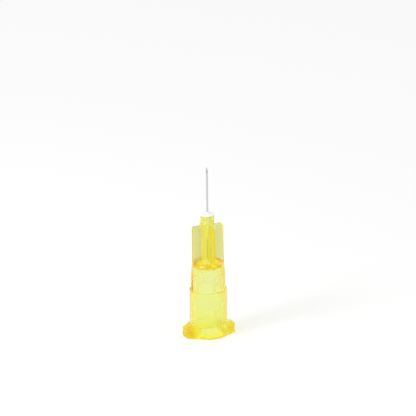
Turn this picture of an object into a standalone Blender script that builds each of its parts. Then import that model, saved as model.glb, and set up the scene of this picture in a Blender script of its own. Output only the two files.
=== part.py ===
"""A short hypodermic needle for skin injections, standing on the open end of its hub.

A clear yellow moulded hub has a conical socket with two locking lugs at the bottom, a stepped
seat for a protective sheath, four grip fins round a slim core, and a nose with a glue well.
A fine steel cannula with a lancet point stands in the core, held by a bead of white adhesive.
The origin is on the hub's axis in the plane of its open end, with +Z towards the point.
The lugs lie along X, and two of the fins lie over them.
"""

import math

import bmesh
import bpy
from mathutils import Matrix, Vector

MM = 0.001

# The socket that takes a syringe's tip, a standard 6 per cent cone that ends at a narrow ledge.
SOCKET_MOUTH_DIAMETER = 4.28 * MM
SOCKET_TAPER = 0.06
SOCKET_DEPTH = 9.45 * MM
SOCKET_MOUTH_CHAMFER = 0.12 * MM
LEDGE_ROUND = 0.1 * MM

# The round-topped chamber above the ledge, under a roof that the core stands on.
CHAMBER_DIAMETER = 2.84 * MM
CHAMBER_DRAFT = 0.08 * MM
CHAMBER_ROUND = 0.55 * MM
CHAMBER_ROOF = 0.62 * MM

# The collar round the socket's lower part.
COLLAR_WALL = 0.66 * MM
COLLAR_HEIGHT = 7.12 * MM
COLLAR_DRAFT = 0.025 * MM
COLLAR_TOP_ROUND = 0.06 * MM
COLLAR_BASE_ROUND = 0.1 * MM

# The locking lugs, whose flanks run tangent to the collar and whose upper faces slope outwards.
LUG_SPAN = 7.82 * MM
LUG_HEIGHT = 1.37 * MM
LUG_TOP_SLOPE = math.radians(19)
LUG_END_ANGLE = math.radians(25)
LUG_RIM_ROUND = 0.14 * MM
LUG_FLANK_ROUND = 0.12 * MM
LUG_ROOT_SINK = 0.03 * MM

# The seat that a sheath grips, with four small ribs that fade out upwards.
SEAT_STEP = 0.22 * MM
SEAT_HEIGHT = 2.35 * MM
SEAT_DRAFT = 0.01 * MM
SEAT_FOOT_ROUND = 0.05 * MM
RIB_WIDTH = 0.48 * MM
RIB_FOOT_PROUD = 0.13 * MM
RIB_TOP_PROUD = 0.04 * MM
RIB_SINK = 0.15 * MM
RIB_EDGE_ROUND = 0.04 * MM

# The tapered shoulder above the seat, with a rounded top.
SHOULDER_TAPER_HEIGHT = 1.4 * MM
SHOULDER_TAPER = 0.16 * MM
SHOULDER_ROUND = 0.6 * MM

# The core and the nose above it, which flares a little towards its end.
CORE_DIAMETER = 1.94 * MM
CORE_FOOT_ROUND = 0.25 * MM
NOSE_DIAMETER = 2.1 * MM
NOSE_LENGTH = 1.6 * MM
NOSE_EDGE_ROUND = 0.05 * MM

# The four grip fins, which widen a little towards the shoulder.
FIN_SPAN = 4.84 * MM
FIN_DRAFT = 0.03 * MM
FIN_HEIGHT = 5.6 * MM
FIN_THICKNESS = 0.62 * MM
FIN_CORNER_ROUND = 0.4 * MM
FIN_EDGE_ROUND = 0.1 * MM
FIN_SINK = 0.5 * MM

# The steel cannula.
CANNULA_DIAMETER = 0.31 * MM
LUMEN_DIAMETER = 0.16 * MM
CANNULA_EXPOSED = 7.25 * MM
CANNULA_END_CHAMFER = 0.03 * MM
BEVEL_LENGTH = 1.1 * MM
LANCET_TURN = math.radians(30)
LANCET_STEEPER = 1.46

# The passage in the hub, from the socket up to the glue well.
FIT_GAP = 0.02 * MM
STOP_RISE = 0.45 * MM
STOP_LIP = 0.045 * MM
STOP_LENGTH = 0.3 * MM
FUNNEL_DIAMETER = 1.3 * MM
WELL_RIM_WALL = 0.19 * MM
WELL_DEPTH = 3.7 * MM

# The adhesive in the well and over the nose.
CAP_THICKNESS = 0.14 * MM
CAP_EDGE_ROUND = 0.06 * MM
MENISCUS_HEIGHT = 0.3 * MM
MENISCUS_WIDTH = 0.28 * MM

# How finely round forms are cut, and how far a cutter passes the face it cuts.
HUB_STEPS = 72
CANNULA_STEPS = 32
BEAD_STEPS = 48
ARC_STEPS = 6
SMALL_ARC_STEPS = 3
EDGE_SEGMENTS = 3
OVERRUN = 0.5 * MM
SEAM_MERGE = 1e-7
CAP_MERGE = 1e-7
SHARP_ANGLE = math.radians(32)

# Radii and heights that follow from the sizes above.
MOUTH_R = SOCKET_MOUTH_DIAMETER / 2
SOCKET_END_R = MOUTH_R - SOCKET_TAPER / 2 * SOCKET_DEPTH
COLLAR_BASE_R = MOUTH_R + COLLAR_WALL
COLLAR_R = COLLAR_BASE_R - COLLAR_DRAFT
LUG_R = LUG_SPAN / 2
SEAT_R = COLLAR_R - SEAT_STEP
SEAT_TOP_R = SEAT_R - SEAT_DRAFT
SEAT_TOP = COLLAR_HEIGHT + SEAT_HEIGHT
SHOULDER_R = SEAT_TOP_R - SHOULDER_TAPER
SHOULDER_Z = SEAT_TOP + SHOULDER_TAPER_HEIGHT
SHOULDER_TOP = SHOULDER_Z + SHOULDER_ROUND
CHAMBER_R = CHAMBER_DIAMETER / 2
CHAMBER_TOP = SHOULDER_TOP - CHAMBER_ROOF
CORE_R = CORE_DIAMETER / 2
NOSE_R = NOSE_DIAMETER / 2
FIN_R = FIN_SPAN / 2
FIN_TOP = SHOULDER_TOP + FIN_HEIGHT
NOSE_TOP = FIN_TOP + NOSE_LENGTH
CANNULA_R = CANNULA_DIAMETER / 2
LUMEN_R = LUMEN_DIAMETER / 2
BORE_R = CANNULA_R + FIT_GAP
STOP_R = CANNULA_R - STOP_LIP
STOP_TOP = SHOULDER_TOP + STOP_RISE
WELL_R = NOSE_R - WELL_RIM_WALL
WELL_BOTTOM = NOSE_TOP - WELL_DEPTH
WELL_SLOPE = (WELL_R - BORE_R) / WELL_DEPTH
CANNULA_FOOT = STOP_TOP + FIT_GAP
CAP_TOP = NOSE_TOP + CAP_THICKNESS
CANNULA_TIP = CAP_TOP + CANNULA_EXPOSED


def clear_scene():
    for obj in list(bpy.data.objects):
        bpy.data.objects.remove(obj)


def collection(name):
    made = bpy.data.collections.new(name)
    bpy.context.scene.collection.children.link(made)
    return made


def material(name, colour, roughness, metallic=0.0, transmission=0.0):
    made = bpy.data.materials.new(name)
    made.use_nodes = True
    shader = made.node_tree.nodes["Principled BSDF"]
    shader.inputs["Base Color"].default_value = (*colour, 1.0)
    shader.inputs["Roughness"].default_value = roughness
    shader.inputs["Metallic"].default_value = metallic
    shader.inputs["Transmission Weight"].default_value = transmission
    return made


def arc(centre_r, centre_z, radius, start, end, steps=ARC_STEPS):
    """Points of a round stretch, from the start to the end angle in degrees."""
    angles = [math.radians(start + (end - start) * i / steps) for i in range(steps + 1)]
    return [(centre_r + radius * math.cos(a), centre_z + radius * math.sin(a)) for a in angles]


def turned(name, profile, steps, home):
    """A form turned about Z from (radius, height) points that run down its outer side.

    A profile that ends where it began makes a tube, and one that ends on the axis a solid.
    """
    closed = profile[0] == profile[-1]
    points = profile[:-1] if closed else profile
    edges = [(i, i + 1) for i in range(len(points) - 1)]
    if closed:
        edges.append((len(points) - 1, 0))
    mesh = bpy.data.meshes.new(name)
    mesh.from_pydata([(r, 0.0, z) for r, z in points], edges, [])
    obj = bpy.data.objects.new(name, mesh)
    home.objects.link(obj)
    turn = obj.modifiers.new("Turn", "SCREW")
    turn.axis = "Z"
    turn.steps = steps
    turn.render_steps = steps
    turn.use_merge_vertices = True
    turn.merge_threshold = SEAM_MERGE
    return obj


def evaluated_mesh(obj):
    """The object's shape with its modifiers, as a new mesh."""
    bpy.context.view_layer.update()
    graph = bpy.context.evaluated_depsgraph_get()
    return bpy.data.meshes.new_from_object(obj.evaluated_get(graph))


def plate(name, outline, thickness, home):
    """A flat outline in the local XY plane, thickened evenly to both sides, as a closed mesh."""
    curve = bpy.data.curves.new(name, "CURVE")
    curve.dimensions = "2D"
    curve.fill_mode = "BOTH"
    curve.extrude = thickness / 2
    spline = curve.splines.new("POLY")
    spline.points.add(len(outline) - 1)
    for point, (x, y) in zip(spline.points, outline):
        point.co = (x, y, 0.0, 1.0)
    spline.use_cyclic_u = True
    drawn = bpy.data.objects.new(name + "_outline", curve)
    home.objects.link(drawn)
    mesh = evaluated_mesh(drawn)
    bpy.data.objects.remove(drawn)
    shape = bmesh.new()
    shape.from_mesh(mesh)
    bmesh.ops.remove_doubles(shape, verts=shape.verts, dist=CAP_MERGE)
    bmesh.ops.dissolve_limit(
        shape, angle_limit=math.radians(0.1), verts=shape.verts, edges=shape.edges
    )
    bmesh.ops.recalc_face_normals(shape, faces=shape.faces)
    shape.to_mesh(mesh)
    shape.free()
    obj = bpy.data.objects.new(name, mesh)
    home.objects.link(obj)
    return obj


def round_edges(obj, width):
    bevel = obj.modifiers.new("Edge round", "BEVEL")
    bevel.width = width
    bevel.segments = EDGE_SEGMENTS
    bevel.limit_method = "ANGLE"
    bevel.angle_limit = SHARP_ANGLE
    bevel.use_clamp_overlap = True


def place(obj, matrix):
    obj.matrix_world = matrix
    return obj


def combine(obj, other, operation):
    """Joins, cuts or keeps the overlap with another closed mesh, which becomes a hidden helper."""
    other.hide_render = True
    other.display_type = "WIRE"
    boolean = obj.modifiers.new(other.name, "BOOLEAN")
    boolean.operation = operation
    boolean.solver = "MANIFOLD"
    boolean.object = other


def finish(obj, finish_material):
    """Applies the object's modifiers, and shades it smooth with crisp corners."""
    mesh = evaluated_mesh(obj)
    obj.modifiers.clear()
    obj.data = mesh
    mesh.materials.clear()
    mesh.materials.append(finish_material)
    mesh.shade_smooth()
    mesh.set_sharp_from_angle(angle=SHARP_ANGLE)
    return obj


def hub_outline():
    """The turned form under the hub's fins, ribs and lugs, from the nose to the open end."""
    nose_edge = arc(
        NOSE_R - NOSE_EDGE_ROUND, NOSE_TOP - NOSE_EDGE_ROUND, NOSE_EDGE_ROUND, 90, 0, SMALL_ARC_STEPS
    )
    core_foot = arc(
        CORE_R + CORE_FOOT_ROUND, SHOULDER_TOP + CORE_FOOT_ROUND, CORE_FOOT_ROUND, 180, 270
    )
    shoulder = arc(SHOULDER_R - SHOULDER_ROUND, SHOULDER_Z, SHOULDER_ROUND, 90, 0)
    seat_foot = arc(
        SEAT_R + SEAT_FOOT_ROUND, COLLAR_HEIGHT + SEAT_FOOT_ROUND, SEAT_FOOT_ROUND, 180, 270, SMALL_ARC_STEPS
    )
    collar_top = arc(
        COLLAR_R - COLLAR_TOP_ROUND, COLLAR_HEIGHT - COLLAR_TOP_ROUND, COLLAR_TOP_ROUND, 90, 0, SMALL_ARC_STEPS
    )
    base_edge = arc(
        COLLAR_BASE_R - COLLAR_BASE_ROUND, COLLAR_BASE_ROUND, COLLAR_BASE_ROUND, 0, -90, SMALL_ARC_STEPS
    )
    return [
        (0.0, NOSE_TOP),
        *nose_edge,
        (CORE_R, FIN_TOP),
        *core_foot,
        *shoulder,
        (SEAT_TOP_R, SEAT_TOP),
        *seat_foot,
        *collar_top,
        *base_edge,
        (0.0, 0.0),
    ]


def passage_outline():
    """The hollow through the hub: glue well, bore, stop, funnel, chamber and conical socket."""
    chamber_top = arc(CHAMBER_R - CHAMBER_ROUND, CHAMBER_TOP - CHAMBER_ROUND, CHAMBER_ROUND, 90, 0)
    ledge = arc(SOCKET_END_R - LEDGE_ROUND, SOCKET_DEPTH - LEDGE_ROUND, LEDGE_ROUND, 90, 0, SMALL_ARC_STEPS)
    return [
        (0.0, NOSE_TOP + OVERRUN),
        (WELL_R + WELL_SLOPE * OVERRUN, NOSE_TOP + OVERRUN),
        (BORE_R, WELL_BOTTOM),
        (BORE_R, STOP_TOP),
        (STOP_R, STOP_TOP),
        (STOP_R, STOP_TOP - STOP_LENGTH),
        (FUNNEL_DIAMETER / 2, CHAMBER_TOP),
        *chamber_top,
        (CHAMBER_R + CHAMBER_DRAFT, SOCKET_DEPTH),
        *ledge,
        (MOUTH_R - SOCKET_TAPER / 2 * SOCKET_MOUTH_CHAMFER, SOCKET_MOUTH_CHAMFER),
        (MOUTH_R + SOCKET_MOUTH_CHAMFER + OVERRUN, -OVERRUN),
        (0.0, -OVERRUN),
    ]


def fin_outline():
    """Two opposite fins as one plate through the core, with rounded outer top corners."""
    bottom = SEAT_TOP + FIN_SINK
    corner = arc(FIN_R - FIN_CORNER_ROUND, FIN_TOP - FIN_CORNER_ROUND, FIN_CORNER_ROUND, 0, 90)
    right = [(FIN_R + FIN_DRAFT, bottom), *corner]
    return right + [(-x, z) for x, z in reversed(right)]


def rib_outline():
    """Two opposite seat ribs as one plate, proud at the collar and fading out at the shoulder."""
    bottom = COLLAR_HEIGHT - SEAT_FOOT_ROUND
    right = [
        (SEAT_R + RIB_FOOT_PROUD, bottom),
        (SEAT_TOP_R + RIB_TOP_PROUD, SEAT_TOP),
        (SEAT_TOP_R - RIB_SINK, SEAT_TOP + RIB_TOP_PROUD + RIB_SINK),
    ]
    return right + [(-x, z) for x, z in reversed(right)]


def lug_disc_outline():
    """A turned disc with a sloped upper face, from which the two lugs are cut."""
    rise = LUG_R * math.tan(LUG_TOP_SLOPE)
    slope = math.degrees(LUG_TOP_SLOPE)
    top_edge = arc(
        LUG_R - LUG_RIM_ROUND, LUG_HEIGHT - LUG_RIM_ROUND, LUG_RIM_ROUND, 90 - slope, 0, SMALL_ARC_STEPS
    )
    base_edge = arc(LUG_R - LUG_RIM_ROUND, LUG_RIM_ROUND, LUG_RIM_ROUND, 0, -90, SMALL_ARC_STEPS)
    return [(0.0, LUG_HEIGHT + rise), *top_edge, *base_edge, (0.0, 0.0)]


def lug_plan():
    """Both lugs in plan: flanks tangent to the collar that reach past the lugs' round ends."""
    half_angle = LUG_END_ANGLE / 2
    flank_r = COLLAR_R - LUG_ROOT_SINK
    tangent = half_angle + math.acos(flank_r / LUG_R)
    root = Vector((flank_r * math.cos(tangent), flank_r * math.sin(tangent)))
    corner = Vector((LUG_R * math.cos(half_angle), LUG_R * math.sin(half_angle)))
    past = corner + (corner - root).normalized() * OVERRUN
    right = [(root.x, -root.y), (past.x, -past.y), (past.x, past.y), (root.x, root.y)]
    return right + [(-x, -y) for x, y in right]


def make_lugs(cutters):
    lugs = turned("lugs", lug_disc_outline(), HUB_STEPS, cutters)
    combine(lugs, plate("lug_plan", lug_plan(), 2 * LUG_SPAN, cutters), "INTERSECT")
    round_edges(lugs, LUG_FLANK_ROUND)
    return lugs


def make_hub(home, cutters, plastic):
    hub = turned("hub", hub_outline(), HUB_STEPS, home)
    upright = Matrix.Rotation(math.radians(90), 4, "X")
    for index, angle in enumerate((0, 90)):
        stand = Matrix.Rotation(math.radians(angle), 4, "Z") @ upright
        fins = place(plate(f"fins_{index}", fin_outline(), FIN_THICKNESS, cutters), stand)
        round_edges(fins, FIN_EDGE_ROUND)
        combine(hub, fins, "UNION")
        ribs = place(plate(f"seat_ribs_{index}", rib_outline(), RIB_WIDTH, cutters), stand)
        round_edges(ribs, RIB_EDGE_ROUND)
        combine(hub, ribs, "UNION")
    combine(hub, make_lugs(cutters), "UNION")
    combine(hub, turned("passage", passage_outline(), HUB_STEPS, cutters), "DIFFERENCE")
    return finish(hub, plastic)


def grinding_block(name, angle, turn, home):
    """A block whose lower face is a ground face of the point: sloped by angle, turned about Z."""
    tip = Vector((0.0, CANNULA_R, CANNULA_TIP))
    size = 4 * BEVEL_LENGTH
    bpy.ops.mesh.primitive_cube_add(size=size)
    block = bpy.context.active_object
    block.name = name
    for owner in list(block.users_collection):
        owner.objects.unlink(block)
    home.objects.link(block)
    lift = Matrix.Translation((0.0, 0.0, size / 2))
    slope = Matrix.Rotation(math.radians(90) - angle, 4, "X")
    spin = Matrix.Rotation(turn, 4, "Z")
    return place(block, Matrix.Translation(tip) @ spin @ slope @ lift)


def make_cannula(home, cutters, steel):
    top = CANNULA_TIP + OVERRUN
    profile = [
        (LUMEN_R, top),
        (CANNULA_R, top),
        (CANNULA_R, CANNULA_FOOT + CANNULA_END_CHAMFER),
        (CANNULA_R - CANNULA_END_CHAMFER, CANNULA_FOOT),
        (LUMEN_R, CANNULA_FOOT),
        (LUMEN_R, top),
    ]
    cannula = turned("cannula", profile, CANNULA_STEPS, home)
    bevel_angle = math.atan(CANNULA_DIAMETER / BEVEL_LENGTH)
    lancet_angle = math.atan(LANCET_STEEPER * math.tan(bevel_angle))
    combine(cannula, grinding_block("main_grind", bevel_angle, 0.0, cutters), "DIFFERENCE")
    for side in (-1, 1):
        name = "left_lancet_grind" if side < 0 else "right_lancet_grind"
        combine(cannula, grinding_block(name, lancet_angle, side * LANCET_TURN, cutters), "DIFFERENCE")
    return finish(cannula, steel)


def make_adhesive_bead(home, adhesive):
    """The adhesive that fills the well, covers the nose and climbs the cannula a little."""
    inner_r = CANNULA_R + FIT_GAP
    cap_bottom = NOSE_TOP + FIT_GAP
    filled_r = WELL_R - FIT_GAP
    foot_r = inner_r + FIT_GAP
    foot_z = NOSE_TOP - (filled_r - foot_r) / WELL_SLOPE
    turns = [math.pi / 2 * i / (2 * ARC_STEPS) for i in range(2 * ARC_STEPS + 1)]
    meniscus = [
        (inner_r + MENISCUS_WIDTH * (1 - math.cos(t)), CAP_TOP + MENISCUS_HEIGHT * (1 - math.sin(t)))
        for t in turns
    ]
    edge = arc(NOSE_R - CAP_EDGE_ROUND, CAP_TOP - CAP_EDGE_ROUND, CAP_EDGE_ROUND, 90, 0, SMALL_ARC_STEPS)
    profile = [
        *meniscus,
        *edge,
        (NOSE_R, cap_bottom),
        (filled_r, cap_bottom),
        (filled_r, NOSE_TOP),
        (foot_r, foot_z),
        (inner_r, foot_z),
        meniscus[0],
    ]
    return finish(turned("adhesive_bead", profile, BEAD_STEPS, home), adhesive)


def main():
    clear_scene()
    needle = collection("mesotherapy_needle")
    cutters = collection("cutters")
    plastic = material("clear_yellow_plastic", (0.93, 0.86, 0.16), 0.14, transmission=0.85)
    steel = material("polished_steel", (0.74, 0.74, 0.73), 0.2, metallic=1.0)
    adhesive = material("white_adhesive", (0.93, 0.93, 0.96), 0.25)
    make_hub(needle, cutters, plastic)
    make_cannula(needle, cutters, steel)
    make_adhesive_bead(needle, adhesive)


main()
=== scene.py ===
"""Looks for a short hypodermic needle that stands on the open end of its clear yellow hub.

The hub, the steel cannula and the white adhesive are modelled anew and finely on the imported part's
own sizes, so that the clear plastic refracts smoothly. A pale floor, an even white surround and one
soft lamp light it, and a long lens looks down on it as in the photograph.
"""

import math

import bmesh
import bpy
from mathutils import Matrix, Vector


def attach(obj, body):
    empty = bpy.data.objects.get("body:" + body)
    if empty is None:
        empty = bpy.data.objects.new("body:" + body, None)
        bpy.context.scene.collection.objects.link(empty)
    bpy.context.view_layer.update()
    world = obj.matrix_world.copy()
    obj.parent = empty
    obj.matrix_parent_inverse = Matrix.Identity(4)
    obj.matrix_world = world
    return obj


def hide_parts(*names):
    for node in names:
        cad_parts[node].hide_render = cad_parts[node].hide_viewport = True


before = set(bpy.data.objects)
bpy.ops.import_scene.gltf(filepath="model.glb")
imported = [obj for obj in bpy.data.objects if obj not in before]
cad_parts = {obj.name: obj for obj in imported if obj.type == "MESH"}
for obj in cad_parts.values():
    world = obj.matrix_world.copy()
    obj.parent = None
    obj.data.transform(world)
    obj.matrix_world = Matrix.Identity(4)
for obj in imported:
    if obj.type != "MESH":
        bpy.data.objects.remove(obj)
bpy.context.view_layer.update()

MM = 0.001

# The hub's turned outside, from the open end up. R is a radius, ROUND is the radius of a rounding,
# and PROUD is how far a form stands out.
FOOT_RING_R = 2.85 * MM
FOOT_RING_TOP = 1.62 * MM
FOOT_RING_ROUND = 0.08 * MM
FOOT_RING_FIRST_ANGLE = 70
FOOT_RING_EASE = 0.02 * MM
COLLAR_R = 2.775 * MM
COLLAR_DRAFT = 0.01 * MM
COLLAR_HEIGHT = 7.12 * MM
COLLAR_TOP_ROUND = 0.06 * MM
SEAT_R = 2.555 * MM
SEAT_TOP_R = 2.545 * MM
SEAT_TOP = 9.47 * MM
SEAT_FOOT_ROUND = 0.05 * MM
SHOULDER_R = 2.385 * MM
SHOULDER_Z = 10.87 * MM
SHOULDER_ROUND = 0.6 * MM
SHOULDER_TOP = SHOULDER_Z + SHOULDER_ROUND
CORE_R = 0.97 * MM
CORE_FOOT_ROUND = 0.25 * MM
NOSE_R = 1.05 * MM
NOSE_TOP = 18.67 * MM
NOSE_EDGE_ROUND = 0.05 * MM

# The locking lugs.
LUG_R = 3.91 * MM
LUG_HEIGHT = 1.37 * MM
LUG_TOP_SLOPE = math.radians(19)
LUG_HALF_ANGLE = math.radians(12.5)
LUG_RIM_ROUND = 0.14 * MM
LUG_FLANK_ROUND = 0.12 * MM
LUG_ROOT_R = 2.79 * MM

# The grip fins and the seat's ribs.
FIN_R = 2.42 * MM
FIN_FOOT_R = 2.45 * MM
FIN_TOP = 17.07 * MM
FIN_FOOT = 9.97 * MM
FIN_THICKNESS = 0.62 * MM
FIN_CORNER_ROUND = 0.4 * MM
FIN_EDGE_ROUND = 0.1 * MM
RIB_WIDTH = 0.48 * MM
RIB_FOOT_PROUD = 0.13 * MM
RIB_TOP_PROUD = 0.04 * MM
RIB_SINK = 0.15 * MM
RIB_EDGE_ROUND = 0.1 * MM

# The passage through the hub: the socket, the chamber above it, the cannula's stop and the glue well.
MOUTH_R = 2.14 * MM
SOCKET_MOUTH_CHAMFER = 0.12 * MM
SOCKET_DEPTH = 9.45 * MM
SOCKET_END_R = 1.8565 * MM
LEDGE_ROUND = 0.1 * MM
CHAMBER_FOOT_R = 1.72 * MM
CHAMBER_R = 1.7 * MM
CHAMBER_TOP = 10.6 * MM
CHAMBER_ROUND = 0.2 * MM
FUNNEL_R = 0.65 * MM
STOP_R = 0.11 * MM
STOP_LENGTH = 0.3 * MM
STOP_TOP = 11.92 * MM
BORE_R = 0.175 * MM
WELL_R = 0.44 * MM
WELL_DEPTH = 3.7 * MM

# The gate mark that the mould leaves on the collar.
GATE_R = 0.32 * MM
GATE_TAPER = 0.8
GATE_HEIGHT = 4.3 * MM
GATE_PROUD = 0.11 * MM
GATE_SINK = 0.12 * MM

# The cannula and the adhesive that holds it, which overlaps the plastic that it wets.
CANNULA_R = 0.155 * MM
LUMEN_R = 0.08 * MM
CANNULA_FOOT = 11.94 * MM
CANNULA_TIP = 26.06 * MM
CANNULA_END_CHAMFER = 0.03 * MM
BEVEL_LENGTH = 1.1 * MM
LANCET_TURN = math.radians(30)
LANCET_STEEPER = 1.46
WETTING = 0.01 * MM
CAP_R = 1.05 * MM
CAP_TOP = 18.81 * MM
CAP_EDGE_ROUND = 0.06 * MM
MENISCUS_HEIGHT = 0.3 * MM
MENISCUS_WIDTH = 0.28 * MM

# The waves in the adhesive's top: how many go round it, how far they are turned, and how high they are.
CAP_WAVES = ((2, 0.7, 1.0), (3, 2.1, 0.6))
CAP_WAVE_HEIGHT = 0.0108 * MM

# How finely round forms are cut, and how meshes are joined and shaded.
HUB_STEPS = 160
CANNULA_STEPS = 64
BEAD_STEPS = 96
GATE_STEPS = 32
ARC_STEPS = 8
SMALL_ARC_STEPS = 4
EDGE_SEGMENTS = 4
OVERRUN = 0.5 * MM
WELD = 1e-7
SHARP_ANGLE = math.radians(34)
WEIGHTED_NORMALS = 50

# Heights between which the hub's finish changes smoothly.
FOOT_END = (0.0, 1.3 * MM)
BASE_END = (0.1 * COLLAR_HEIGHT, 0.7 * COLLAR_HEIGHT)
RIBS_START = (COLLAR_HEIGHT, COLLAR_HEIGHT + RIB_EDGE_ROUND)
RIBS_END = (SEAT_TOP, SEAT_TOP + RIB_EDGE_ROUND)
SHOULDER_START = (SEAT_TOP, SHOULDER_TOP)
CORE_START = (SHOULDER_TOP - CORE_FOOT_ROUND, SHOULDER_TOP)
CORE_END = (FIN_TOP, FIN_TOP + FIN_CORNER_ROUND)
FINS_START = (SHOULDER_TOP, SHOULDER_TOP + CORE_FOOT_ROUND)
FINS_END = (FIN_TOP - 2 * FIN_EDGE_ROUND, FIN_TOP - FIN_EDGE_ROUND)
NOSE_START = (FIN_TOP, FIN_TOP + 0.3 * MM)

# Distances from the axis, and for the side fins from the plane between them, where it changes too.
OFF_CORE = (1.1 * CORE_R, 1.3 * CORE_R)
ON_FIN_EDGES = (FIN_R - 2 * FIN_EDGE_ROUND, FIN_R - FIN_EDGE_ROUND)
ON_LUGS = (1.01 * FOOT_RING_R, 1.03 * FOOT_RING_R)
ON_RIBS = (SEAT_R + 0.1 * RIB_FOOT_PROUD, SEAT_R + 0.3 * RIB_FOOT_PROUD)
# How the fins' painted shade is shared: in full on the side fins, by this share on the other two.
ON_SIDE_FINS = (0.9 * CORE_R, 1.1 * CORE_R)
OTHER_FINS_SHARE = 0.5

# The clear plastic: its tints, among them painted light at the foot and the fins' edges and painted
# shade on the fins, the colour that it takes on with depth, and how matt it is.
WALL_TINT = (0.91, 0.97, 0.99)
# The base and foot colours below are painted light: the yellow of the shaded floor inside the socket,
# which is lit only through the plastic.
BASE_PAINTED_LIGHT = (0.91, 0.95, 0.66)
FOOT_PAINTED_LIGHT = (0.91, 0.94, 0.14)
SHOULDER_TINT = (0.91, 0.96, 0.87)
NOSE_TINT = (0.84, 0.92, 0.88)
# The fins' colour below is painted shade: it makes them greyer and darker, most on the side fins,
# though all four are one plastic.
FIN_PAINTED_SHADE = (0.73, 0.75, 0.48)
# The fins' edge colour below is a painted glow of light that runs along inside the fin.
FIN_EDGE_PAINTED_GLOW = (0.95, 0.93, 0.45)
DEPTH_COLOUR = (0.996, 0.95, 0.15, 1.0)
DEPTH_DENSITY = 900.0
PLASTIC_IOR = 1.45
HAZE = 0.22
FLOW_HAZE = 0.05
LUG_SATIN = 0.5
CORE_SATIN = 0.12
FIN_TOP_SATIN = 0.3
RIB_SATIN = 0.4

# Its flow lines and fine grain.
FLOW_STRETCH = (1.0, 1.0, 0.35)
FLOW_SCALE = 900.0
GRAIN_SCALE = 9000.0
FLOW_SHARE = 0.7
PLASTIC_BUMP = (0.08, 0.02 * MM)

# The steel, with lines that run along the tube, and patches.
STEEL_DARK = (0.57, 0.57, 0.56)
STEEL_LIGHT = (0.69, 0.69, 0.67)
LINE_STRETCH = (1.0, 1.0, 0.02)
LINE_SCALE = 30000.0
PATCH_SCALE = 700.0
STEEL_ROUGHNESS = 0.14
LINE_ROUGHNESS = 0.12
PATCH_ROUGHNESS = 0.06
STEEL_BUMP = (0.3, 0.004 * MM)

# The adhesive, white, with painted yellow light on it in the well, where it is lit only through the
# plastic.
CAP_WHITE = (0.83, 0.835, 0.82)
# The well colour below is painted light: lighter and yellower, for the light that reaches the adhesive
# through the plastic.
WELL_PAINTED_LIGHT = (0.84, 0.88, 0.68)
CLOUD_SCALE = 1500.0
CLOUD_SHARE = 0.1
ADHESIVE_ROUGHNESS = 0.25
CLOUD_ROUGHNESS = 0.15
ADHESIVE_IOR = 1.5
ADHESIVE_BUMP = (0.3, 0.03 * MM)

# Noise, and the colour sockets of a Mix node, which share their names with its other kinds.
FINE_DETAIL = 3.0
PLAIN_DETAIL = 2.0
NOISE_ROUGHNESS = 0.55
MIX_SHARE, MIX_FIRST, MIX_SECOND, MIX_RESULT = 0, 6, 7, 2

# The floor, the surround and the lamp.
WHITE = (1.0, 1.0, 1.0, 1.0)
FLOOR_COLOUR = (0.93, 0.93, 0.93, 1.0)
FLOOR_GLOW_SHARE = 0.4
FLOOR_HALF_SIZE = 0.6
FLOOR_DROP = 0.02 * MM
SURROUND_LIGHT = 0.9
LAMP_PLACE = Vector((-0.19, -0.05, 0.14))
LAMP_AIM = Vector((0.0, 0.0, 0.01))
LAMP_SIZE = 0.1
LAMP_ENERGY = 0.25

# The camera: the photograph's scale, framing and viewing angle, and the nearest and furthest that it
# sees, as shares of its distance.
CAMERA_AZIMUTH = math.radians(-22)
CAMERA_ELEVATION = math.radians(19.5)
CAMERA_ROLL = math.radians(0.7)
CAMERA_LENS = 1000
CAMERA_SENSOR = 36
CAMERA_NEAREST = 0.05
CAMERA_FURTHEST = 4
IMAGE_SIZE = 416
PIXELS_PER_MM = 6.775
AIM_HEIGHT = 19.69 * MM
AIM_ASIDE = 0.109 * MM

# Light that runs along inside the clear plastic meets many walls before it leaves.
GLASS_BOUNCES = 32


def arc(centre_r, centre_z, radius, start, end, steps):
    """Points of a round stretch, from the start to the end angle in degrees."""
    angles = [math.radians(start + (end - start) * i / steps) for i in range(steps + 1)]
    return [(centre_r + radius * math.cos(a), centre_z + radius * math.sin(a)) for a in angles]


def top_edge(radius, top, rounding, start=90, steps=SMALL_ARC_STEPS):
    """The rounding of an upper edge, from its face down to its side."""
    return arc(radius - rounding, top - rounding, rounding, start, 0, steps)


def bottom_edge(radius, bottom, rounding):
    """The rounding of a lower edge, from its side down to its face."""
    return arc(radius - rounding, bottom + rounding, rounding, 0, -90, SMALL_ARC_STEPS)


def fillet(radius, floor, rounding, steps=SMALL_ARC_STEPS):
    """The rounding of an inner corner, from the upright side out to the face below."""
    return arc(radius + rounding, floor + rounding, rounding, 180, 270, steps)


def turned(outline, steps):
    """A closed form spun about Z from (radius, height) points."""
    shape = bmesh.new()
    points = [shape.verts.new((r, 0.0, z)) for r, z in outline]
    edges = [shape.edges.new(pair) for pair in zip(points, points[1:])]
    bmesh.ops.spin(
        shape, geom=points + edges, cent=(0, 0, 0), axis=(0, 0, 1), dvec=(0, 0, 0),
        angle=2 * math.pi, steps=steps, use_merge=True, use_duplicate=False,
    )
    bmesh.ops.remove_doubles(shape, verts=shape.verts, dist=WELD)
    bmesh.ops.recalc_face_normals(shape, faces=shape.faces)
    return shape


def plate(right_side, thickness):
    """An upright plate through the axis, from (x, height) points of its right side."""
    outline = right_side + [(-x, z) for x, z in reversed(right_side)]
    shape = bmesh.new()
    front = shape.faces.new([shape.verts.new((x, -thickness / 2, z)) for x, z in outline])
    grown = bmesh.ops.extrude_face_region(shape, geom=[front])
    moved = [item for item in grown["geom"] if isinstance(item, bmesh.types.BMVert)]
    bmesh.ops.translate(shape, verts=moved, vec=(0, thickness, 0))
    bmesh.ops.recalc_face_normals(shape, faces=shape.faces)
    return shape


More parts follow.
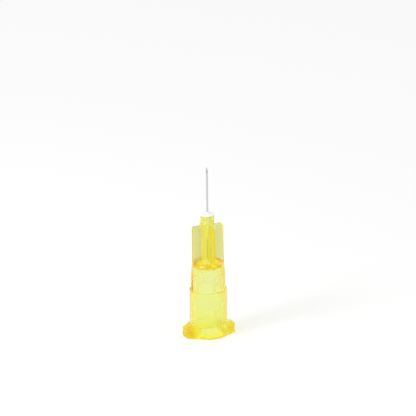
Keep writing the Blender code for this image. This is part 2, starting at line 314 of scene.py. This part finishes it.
def round_edges(shape, width):
    """Rounds every corner that is sharper than the shading angle."""
    sharp = [e for e in shape.edges if e.is_manifold and e.calc_face_angle() > SHARP_ANGLE]
    bmesh.ops.bevel(
        shape, geom=sharp, offset=width, offset_type="OFFSET", affect="EDGES",
        segments=EDGE_SEGMENTS, profile=0.5, material=-1, clamp_overlap=True,
    )


def slice_off(shape, point, outwards):
    """Cuts away what lies beyond a plane, and closes the cut."""
    everything = shape.verts[:] + shape.edges[:] + shape.faces[:]
    bmesh.ops.bisect_plane(
        shape, geom=everything, dist=WELD, plane_co=point, plane_no=outwards, clear_outer=True
    )
    rim = [edge for edge in shape.edges if edge.is_boundary]
    bmesh.ops.triangle_fill(shape, use_beauty=True, use_dissolve=False, edges=rim, normal=outwards)
    bmesh.ops.recalc_face_normals(shape, faces=shape.faces)


def quarter_turned(shape):
    """The shape, turned by a right angle about Z."""
    turn = Matrix.Rotation(math.radians(90), 3, "Z")
    bmesh.ops.rotate(shape, verts=shape.verts, cent=(0, 0, 0), matrix=turn)
    return shape


def as_object(shape, name):
    """Puts a shape into the scene as an object."""
    mesh = bpy.data.meshes.new(name)
    shape.to_mesh(mesh)
    shape.free()
    made = bpy.data.objects.new(name, mesh)
    bpy.context.scene.collection.objects.link(made)
    return made


def apply_modifiers(piece):
    """Keeps what the modifiers make of the mesh, and takes them off."""
    bpy.context.view_layer.update()
    graph = bpy.context.evaluated_depsgraph_get()
    mesh = bpy.data.meshes.new_from_object(piece.evaluated_get(graph))
    piece.modifiers.clear()
    piece.data = mesh


def combine(piece, shapes, operation):
    """Joins other closed shapes to a piece, or cuts them out of it."""
    helpers = [as_object(shape, f"helper_{index}") for index, shape in enumerate(shapes)]
    for helper in helpers:
        step = piece.modifiers.new(helper.name, "BOOLEAN")
        step.operation = operation
        step.solver = "MANIFOLD"
        step.object = helper
    apply_modifiers(piece)
    for helper in helpers:
        bpy.data.objects.remove(helper)


def shade(piece):
    """Smooth shading with crisp corners, in which flat faces stay flat."""
    piece.data.shade_smooth()
    piece.data.set_sharp_from_angle(angle=SHARP_ANGLE)
    step = piece.modifiers.new("Flat faces", "WEIGHTED_NORMAL")
    step.keep_sharp = True
    step.weight = WEIGHTED_NORMALS
    apply_modifiers(piece)


def dress(piece, finish, node):
    """Gives a piece its finish and puts it in the place of its plain CAD node."""
    piece.data.materials.clear()
    piece.data.materials.append(finish.owner)
    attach(piece, "root")
    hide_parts(node)


def hub_outline():
    """The turned form under the fins, ribs and lugs, from the nose to the open end."""
    return [
        (0.0, NOSE_TOP),
        *top_edge(NOSE_R, NOSE_TOP, NOSE_EDGE_ROUND),
        (CORE_R, FIN_TOP),
        *fillet(CORE_R, SHOULDER_TOP, CORE_FOOT_ROUND, ARC_STEPS),
        *arc(SHOULDER_R - SHOULDER_ROUND, SHOULDER_Z, SHOULDER_ROUND, 90, 0, ARC_STEPS),
        (SEAT_TOP_R, SEAT_TOP),
        *fillet(SEAT_R, COLLAR_HEIGHT, SEAT_FOOT_ROUND),
        *top_edge(COLLAR_R, COLLAR_HEIGHT, COLLAR_TOP_ROUND),
        (COLLAR_R + COLLAR_DRAFT, FOOT_RING_TOP + FOOT_RING_EASE),
        *top_edge(FOOT_RING_R, FOOT_RING_TOP, FOOT_RING_ROUND, FOOT_RING_FIRST_ANGLE),
        *bottom_edge(FOOT_RING_R, 0.0, FOOT_RING_ROUND),
        (0.0, 0.0),
    ]


def passage_outline():
    """The hollow through the hub, from the glue well down to the mouth of the conical socket."""
    well_bottom = NOSE_TOP - WELL_DEPTH
    well_slope = (WELL_R - BORE_R) / WELL_DEPTH
    socket_slope = (MOUTH_R - SOCKET_END_R) / SOCKET_DEPTH
    return [
        (0.0, NOSE_TOP + OVERRUN),
        (WELL_R + well_slope * OVERRUN, NOSE_TOP + OVERRUN),
        (BORE_R, well_bottom),
        (BORE_R, STOP_TOP),
        (STOP_R, STOP_TOP),
        (STOP_R, STOP_TOP - STOP_LENGTH),
        (FUNNEL_R, CHAMBER_TOP),
        *top_edge(CHAMBER_R, CHAMBER_TOP, CHAMBER_ROUND, steps=ARC_STEPS),
        (CHAMBER_FOOT_R, SOCKET_DEPTH),
        *top_edge(SOCKET_END_R, SOCKET_DEPTH, LEDGE_ROUND),
        (MOUTH_R - socket_slope * SOCKET_MOUTH_CHAMFER, SOCKET_MOUTH_CHAMFER),
        (MOUTH_R + SOCKET_MOUTH_CHAMFER + OVERRUN, -OVERRUN),
        (0.0, -OVERRUN),
    ]


def fin_pair():
    """Two opposite fins as one plate through the core, with rounded outer top corners."""
    corner = arc(
        FIN_R - FIN_CORNER_ROUND, FIN_TOP - FIN_CORNER_ROUND, FIN_CORNER_ROUND, 0, 90, ARC_STEPS
    )
    shape = plate([(FIN_FOOT_R, FIN_FOOT), *corner], FIN_THICKNESS)
    round_edges(shape, FIN_EDGE_ROUND)
    return shape


def rib_pair():
    """Two opposite ribs on the seat, proud at the collar and fading out at the shoulder."""
    shape = plate([
        (SEAT_R + RIB_FOOT_PROUD, COLLAR_HEIGHT - SEAT_FOOT_ROUND),
        (SEAT_TOP_R + RIB_TOP_PROUD, SEAT_TOP),
        (SEAT_TOP_R - RIB_SINK, SEAT_TOP + RIB_TOP_PROUD + RIB_SINK),
    ], RIB_WIDTH)
    round_edges(shape, RIB_EDGE_ROUND)
    return shape


def lug_pair():
    """Both lugs: a disc with a sloped upper face, cut off along flanks tangent to the collar."""
    rise = LUG_R * math.tan(LUG_TOP_SLOPE)
    slope = math.degrees(LUG_TOP_SLOPE)
    shape = turned([
        (0.0, LUG_HEIGHT + rise),
        *top_edge(LUG_R, LUG_HEIGHT, LUG_RIM_ROUND, 90 - slope),
        *bottom_edge(LUG_R, 0.0, LUG_RIM_ROUND),
        (0.0, 0.0),
    ], HUB_STEPS)
    facing = LUG_HALF_ANGLE + math.acos(LUG_ROOT_R / LUG_R)
    middle = math.pi / 2
    cuts = [(angle, LUG_ROOT_R) for angle in (facing, math.pi - facing, math.pi + facing, -facing)]
    cuts += [(angle, LUG_ROOT_R * math.sin(facing)) for angle in (middle, -middle)]
    for angle, reach in cuts:
        outwards = Vector((math.cos(angle), math.sin(angle), 0.0))
        slice_off(shape, outwards * reach, outwards)
    round_edges(shape, LUG_FLANK_ROUND)
    return shape


def gate_mark():
    """The low round stub that is left where the plastic was let into the mould."""
    shape = bmesh.new()
    bmesh.ops.create_cone(
        shape, segments=GATE_STEPS, cap_ends=True, cap_tris=False,
        radius1=GATE_R, radius2=GATE_TAPER * GATE_R, depth=2 * GATE_SINK,
    )
    centre_y = -(COLLAR_R + GATE_PROUD - GATE_SINK)
    turn = Matrix.Rotation(math.radians(90), 4, "X")
    placed = Matrix.Translation((0.0, centre_y, GATE_HEIGHT)) @ turn
    bmesh.ops.transform(shape, verts=shape.verts, matrix=placed)
    return shape


def make_hub(finish):
    """The clear moulding: its turned form with fins, ribs, lugs and gate mark, and its passage."""
    hub = as_object(turned(hub_outline(), HUB_STEPS), "clear_hub")
    grown = [fin_pair(), quarter_turned(fin_pair()), rib_pair(), quarter_turned(rib_pair())]
    combine(hub, grown + [lug_pair(), gate_mark()], "UNION")
    combine(hub, [turned(passage_outline(), HUB_STEPS)], "DIFFERENCE")
    shade(hub)
    dress(hub, finish, "hub")


def make_cannula(finish):
    """A thin tube with an open lumen, ground to a lancet point on three faces."""
    shape = turned([
        (LUMEN_R, CANNULA_TIP + OVERRUN),
        (CANNULA_R, CANNULA_TIP + OVERRUN),
        (CANNULA_R, CANNULA_FOOT + CANNULA_END_CHAMFER),
        (CANNULA_R - CANNULA_END_CHAMFER, CANNULA_FOOT),
        (LUMEN_R, CANNULA_FOOT),
        (LUMEN_R, CANNULA_TIP + OVERRUN),
    ], CANNULA_STEPS)
    tip = Vector((0.0, CANNULA_R, CANNULA_TIP))
    main_slope = 2 * CANNULA_R / BEVEL_LENGTH
    side_slope = LANCET_STEEPER * main_slope
    for slope, turn in ((main_slope, 0.0), (side_slope, -LANCET_TURN), (side_slope, LANCET_TURN)):
        facing = Matrix.Rotation(turn, 3, "Z") @ Vector((0.0, -1.0, slope)).normalized()
        slice_off(shape, tip, facing)
    cannula = as_object(shape, "steel_cannula")
    shade(cannula)
    dress(cannula, finish, "cannula")


def make_adhesive(finish):
    """The adhesive that fills the well, covers the nose and climbs the cannula a little."""
    well_bottom = NOSE_TOP - WELL_DEPTH
    climb_steps = 2 * ARC_STEPS
    climb = [math.pi / 2 * i / climb_steps for i in range(climb_steps + 1)]
    meniscus = [
        (CANNULA_R + MENISCUS_WIDTH * (1 - math.cos(t)), CAP_TOP + MENISCUS_HEIGHT * (1 - math.sin(t)))
        for t in climb
    ]
    top_start, top_end = meniscus[-1][0], CAP_R - CAP_EDGE_ROUND
    top = [(top_start + (top_end - top_start) * i / ARC_STEPS, CAP_TOP) for i in range(1, ARC_STEPS)]
    shape = turned([
        *meniscus,
        *top,
        *top_edge(CAP_R, CAP_TOP, CAP_EDGE_ROUND),
        (CAP_R, NOSE_TOP - WETTING),
        (WELL_R + WETTING, NOSE_TOP - WETTING),
        (BORE_R + WETTING, well_bottom),
        (CANNULA_R, well_bottom),
        meniscus[0],
    ], BEAD_STEPS)
    for vert in shape.verts:
        if vert.co.z > CAP_TOP - CAP_EDGE_ROUND:
            turn = math.atan2(vert.co.y, vert.co.x)
            out = Vector(vert.co[:2]).length / CAP_R
            waves = [
                height * math.sin(count * turn + shift) * out ** (count - 1)
                for count, shift, height in CAP_WAVES
            ]
            vert.co.z += CAP_WAVE_HEIGHT * (sum(waves) - 1.0) * out
    bead = as_object(shape, "adhesive_cap")
    shade(bead)
    dress(bead, finish, "adhesive_bead")


class Signal:
    """The output of a shader node, which works in plain arithmetic."""

    def __init__(self, finish, socket):
        self.finish = finish
        self.socket = socket

    def maths(self, operation, first, second):
        return self.finish.node("ShaderNodeMath", {"operation": operation}, {0: first, 1: second})

    def __add__(self, other):
        return self.maths("ADD", self, other)

    __radd__ = __add__

    def __sub__(self, other):
        return self.maths("SUBTRACT", self, other)

    def __rsub__(self, other):
        return self.maths("SUBTRACT", other, self)

    def __mul__(self, other):
        return self.maths("MULTIPLY", self, other)

    __rmul__ = __mul__

    def __or__(self, other):
        return self.maths("MAXIMUM", self, other)


class Finish:
    """A material, or the world, and the nodes that make it."""

    def __init__(self, owner):
        owner.use_nodes = True
        self.owner = owner
        self.tree = owner.node_tree
        self.tree.nodes.clear()

    def node(self, kind, settings=None, values=None, output=0):
        """A node of a kind, with its settings, and then the values or links of its sockets."""
        made = self.tree.nodes.new(kind)
        for name, value in (settings or {}).items():
            setattr(made, name, value)
        for name, value in (values or {}).items():
            if isinstance(value, Signal):
                self.tree.links.new(value.socket, made.inputs[name])
            else:
                made.inputs[name].default_value = value
        return Signal(self, made.outputs[output])

    def place(self):
        """The point on the object, in metres, that a pattern is drawn by."""
        return self.node("ShaderNodeTexCoord", output="Object")

    def stretched(self, place, scale):
        return self.node("ShaderNodeMapping", None, {"Vector": place, "Scale": scale})

    def noise(self, place, scale, detail):
        values = {"Vector": place, "Scale": scale, "Detail": detail, "Roughness": NOISE_ROUGHNESS}
        return self.node("ShaderNodeTexNoise", {"noise_dimensions": "3D"}, values)

    def blend(self, share, first, second):
        """A colour between two others, by a share from 0 to 1."""
        first, second = (
            colour if isinstance(colour, Signal) else (*colour, 1.0) for colour in (first, second)
        )
        values = {MIX_SHARE: share, MIX_FIRST: first, MIX_SECOND: second}
        return self.node("ShaderNodeMix", {"data_type": "RGBA"}, values, MIX_RESULT)

    def ramp(self, value, ends):
        """0 up to the first end, 1 from the second end on, and smooth between them."""
        values = {"Value": value, "From Min": ends[0], "From Max": ends[1]}
        return self.node("ShaderNodeMapRange", {"interpolation_type": "SMOOTHSTEP"}, values)

    def bump(self, height, size):
        """A relief that follows a height, by a size of (strength, distance)."""
        values = {"Height": height, "Strength": size[0], "Distance": size[1]}
        return self.node("ShaderNodeBump", None, values, "Normal")

    def show(self, surface, volume=None):
        """Links the surface, and what fills the piece, to the output."""
        is_world = isinstance(self.owner, bpy.types.World)
        kind = "ShaderNodeOutputWorld" if is_world else "ShaderNodeOutputMaterial"
        made = self.tree.nodes.new(kind)
        self.tree.links.new(surface.socket, made.inputs["Surface"])
        if volume is not None:
            self.tree.links.new(volume.socket, made.inputs["Volume"])


def new_finish(name):
    return Finish(bpy.data.materials.new(name))


def squared(ends):
    """The ends of a smooth change over a distance that is given squared."""
    return [end ** 2 for end in ends]


def coordinates(finish, place):
    """A point's squared distances from the side fins' middle plane and the axis, and its height."""
    parts = finish.node("ShaderNodeSeparateXYZ", None, {0: place}).socket.node
    x, y, z = (Signal(finish, output) for output in parts.outputs)
    return x * x, x * x + y * y, z


def on_fins(finish, aside, out, height):
    """Where the fins' painted shade goes: 1 on the side fins' broad faces, less on the other two's, and
    0 on edges and elsewhere.
    """
    broad = finish.ramp(out, squared(OFF_CORE)) - finish.ramp(out, squared(ON_FIN_EDGES))
    tall = finish.ramp(height, FINS_START) - finish.ramp(height, FINS_END)
    side = finish.ramp(aside, squared(ON_SIDE_FINS))
    return broad * tall * (OTHER_FINS_SHARE + (1 - OTHER_FINS_SHARE) * side)


def on_fin_edges(finish, out, height):
    """1 on the fins' outer edges, where light that has run along inside the fin comes out."""
    return finish.ramp(height, FINS_START) * finish.ramp(out, squared(ON_FIN_EDGES))


def satin(finish, out, height):
    """How matt the mould leaves the hub, beyond its haze: most on lugs, ribs and the fins' tops."""
    lugs = finish.ramp(out, squared(ON_LUGS))
    core = finish.ramp(height, CORE_START) - finish.ramp(height, CORE_END)
    tops = finish.ramp(out, squared(OFF_CORE)) * finish.ramp(height, FINS_END)
    on_seat = finish.ramp(height, RIBS_START) - finish.ramp(height, RIBS_END)
    ribs = on_seat * finish.ramp(out, squared(ON_RIBS))
    return LUG_SATIN * lugs + CORE_SATIN * core + FIN_TOP_SATIN * tops + RIB_SATIN * ribs


def hub_tint_and_painted_light(finish, aside, out, height):
    """The plastic's tint, with painted light and shade in it: painted yellow light at the foot, a
    painted glow at the fins' edges, and painted grey shade on the fins.
    """
    # Painted light at the base and foot: the yellow of the shaded floor inside the socket, seen through
    # the wall.
    at_base = 1.0 - finish.ramp(height, BASE_END)
    at_foot = 1.0 - finish.ramp(height, FOOT_END)
    tint = finish.blend(at_base, WALL_TINT, BASE_PAINTED_LIGHT)
    tint = finish.blend(at_foot, tint, FOOT_PAINTED_LIGHT)
    tint = finish.blend(finish.ramp(height, SHOULDER_START), tint, SHOULDER_TINT)
    tint = finish.blend(finish.ramp(height, NOSE_START), tint, NOSE_TINT)
    # Painted shade on the fins, fullest on the side fins.
    tint = finish.blend(on_fins(finish, aside, out, height), tint, FIN_PAINTED_SHADE)
    # A painted glow at the fins' edges.
    return finish.blend(on_fin_edges(finish, out, height), tint, FIN_EDGE_PAINTED_GLOW)


def hub_plastic():
    """Clear moulded polypropylene, faintly hazy, that takes blue out of the light in its depth."""
    finish = new_finish("clear_yellow_plastic")
    place = finish.place()
    aside, out, height = coordinates(finish, place)
    flow = finish.noise(finish.stretched(place, FLOW_STRETCH), FLOW_SCALE, PLAIN_DETAIL)
    grain = finish.noise(place, GRAIN_SCALE, PLAIN_DETAIL)
    surface = finish.node("ShaderNodeBsdfPrincipled", None, {
        "Base Color": hub_tint_and_painted_light(finish, aside, out, height),
        "Roughness": HAZE + FLOW_HAZE * flow + satin(finish, out, height),
        "IOR": PLASTIC_IOR,
        "Transmission Weight": 1.0,
        "Normal": finish.bump(FLOW_SHARE * flow + (1 - FLOW_SHARE) * grain, PLASTIC_BUMP),
    })
    depth = finish.node("ShaderNodeVolumeAbsorption", None, {
        "Color": DEPTH_COLOUR,
        "Density": DEPTH_DENSITY,
    })
    finish.show(surface, depth)
    return finish


def cannula_steel():
    """Drawn and polished stainless steel, with fine lines along the tube."""
    finish = new_finish("polished_steel")
    place = finish.place()
    lines = finish.noise(finish.stretched(place, LINE_STRETCH), LINE_SCALE, FINE_DETAIL)
    patches = finish.noise(place, PATCH_SCALE, PLAIN_DETAIL)
    surface = finish.node("ShaderNodeBsdfPrincipled", None, {
        "Base Color": finish.blend(lines, STEEL_DARK, STEEL_LIGHT),
        "Metallic": 1.0,
        "Roughness": STEEL_ROUGHNESS + LINE_ROUGHNESS * lines + PATCH_ROUGHNESS * patches,
        "Normal": finish.bump(lines, STEEL_BUMP),
    })
    finish.show(surface)
    return finish


def white_adhesive():
    """White cured adhesive with a soft shine, and painted yellow light in the well."""
    finish = new_finish("white_adhesive")
    place = finish.place()
    cloud = finish.noise(place, CLOUD_SCALE, FINE_DETAIL)
    height = finish.node("ShaderNodeSeparateXYZ", None, {0: place}, "Z")
    # Painted light in the well, mixed with the adhesive's own cloudy tone.
    in_well = 1.0 - finish.ramp(height, (NOSE_TOP - CAP_EDGE_ROUND, NOSE_TOP))
    cloud_and_painted_well_light = CLOUD_SHARE * cloud + (1 - CLOUD_SHARE) * in_well
    surface = finish.node("ShaderNodeBsdfPrincipled", None, {
        "Base Color": finish.blend(cloud_and_painted_well_light, CAP_WHITE, WELL_PAINTED_LIGHT),
        "Roughness": ADHESIVE_ROUGHNESS + CLOUD_ROUGHNESS * cloud,
        "IOR": ADHESIVE_IOR,
        "Normal": finish.bump(cloud, ADHESIVE_BUMP),
    })
    finish.show(surface)
    return finish


def seen_directly(finish):
    """1 for what the camera sees, also in a reflection or through the clear plastic, else 0."""
    camera = finish.node("ShaderNodeLightPath", output="Is Camera Ray")
    mirror = finish.node("ShaderNodeLightPath", output="Is Glossy Ray")
    through = finish.node("ShaderNodeLightPath", output="Is Transmission Ray")
    return camera | mirror | through


def make_floor():
    """A pale floor that keeps the object's shadow, and looks whiter than it lights."""
    finish = new_finish("pale_floor")
    glow = FLOOR_GLOW_SHARE * seen_directly(finish)
    matt = finish.node("ShaderNodeBsdfDiffuse", None, {"Color": FLOOR_COLOUR})
    white = finish.node("ShaderNodeEmission", None, {"Color": WHITE, "Strength": 1.0})
    finish.show(finish.node("ShaderNodeMixShader", None, {"Fac": glow, 1: matt, 2: white}))
    shape = bmesh.new()
    bmesh.ops.create_grid(shape, x_segments=1, y_segments=1, size=FLOOR_HALF_SIZE)
    bmesh.ops.translate(shape, verts=shape.verts, vec=(0, 0, -FLOOR_DROP))
    floor = as_object(shape, "floor")
    floor.data.materials.append(finish.owner)


def make_world():
    """An even white surround that lights a little less brightly than it looks."""
    world = bpy.data.worlds.new("white_surround")
    bpy.context.scene.world = world
    finish = Finish(world)
    brightness = SURROUND_LIGHT + (1 - SURROUND_LIGHT) * seen_directly(finish)
    finish.show(finish.node("ShaderNodeBackground", None, {"Color": WHITE, "Strength": brightness}))


def make_lamp():
    """A soft round lamp that points at the hub."""
    lamp = bpy.data.lights.new("soft_lamp", "AREA")
    lamp.shape = "DISK"
    lamp.size = LAMP_SIZE
    lamp.energy = LAMP_ENERGY
    made = bpy.data.objects.new("soft_lamp", lamp)
    made.location = LAMP_PLACE
    made.rotation_mode = "QUATERNION"
    made.rotation_quaternion = (LAMP_AIM - LAMP_PLACE).to_track_quat("-Z", "Y")
    bpy.context.scene.collection.objects.link(made)


def make_camera():
    """A long lens that looks down on the needle, a little from its left, as in the photograph."""
    data = bpy.data.cameras.new("camera")
    data.lens = CAMERA_LENS
    data.sensor_width = CAMERA_SENSOR
    distance = CAMERA_LENS * IMAGE_SIZE / (CAMERA_SENSOR * PIXELS_PER_MM) * MM
    data.clip_start = distance * CAMERA_NEAREST
    data.clip_end = distance * CAMERA_FURTHEST
    camera = bpy.data.objects.new("camera", data)
    bpy.context.scene.collection.objects.link(camera)
    sideways = Vector((math.cos(CAMERA_AZIMUTH), math.sin(CAMERA_AZIMUTH), 0.0))
    level = math.cos(CAMERA_ELEVATION)
    back = Vector((
        math.sin(CAMERA_AZIMUTH) * level, -math.cos(CAMERA_AZIMUTH) * level, math.sin(CAMERA_ELEVATION)
    ))
    camera.location = Vector((0, 0, AIM_HEIGHT)) + sideways * AIM_ASIDE + back * distance
    camera.rotation_mode = "QUATERNION"
    level_view = (-back).to_track_quat("-Z", "Y").to_matrix()
    roll = Matrix.Rotation(-CAMERA_ROLL, 3, back)
    camera.rotation_quaternion = (roll @ level_view).to_quaternion()
    bpy.context.scene.camera = camera


def set_light_paths():
    """Lets light go all the way through the clear plastic, with nothing blurred for speed."""
    cycles = bpy.context.scene.cycles
    cycles.max_bounces = GLASS_BOUNCES
    cycles.diffuse_bounces = GLASS_BOUNCES
    cycles.glossy_bounces = GLASS_BOUNCES
    cycles.transmission_bounces = GLASS_BOUNCES
    cycles.blur_glossy = 0.0


make_hub(hub_plastic())
make_cannula(cannula_steel())
make_adhesive(white_adhesive())
make_floor()
make_world()
make_lamp()
make_camera()
set_light_paths()
bpy.context.scene.view_settings.view_transform = "Standard"
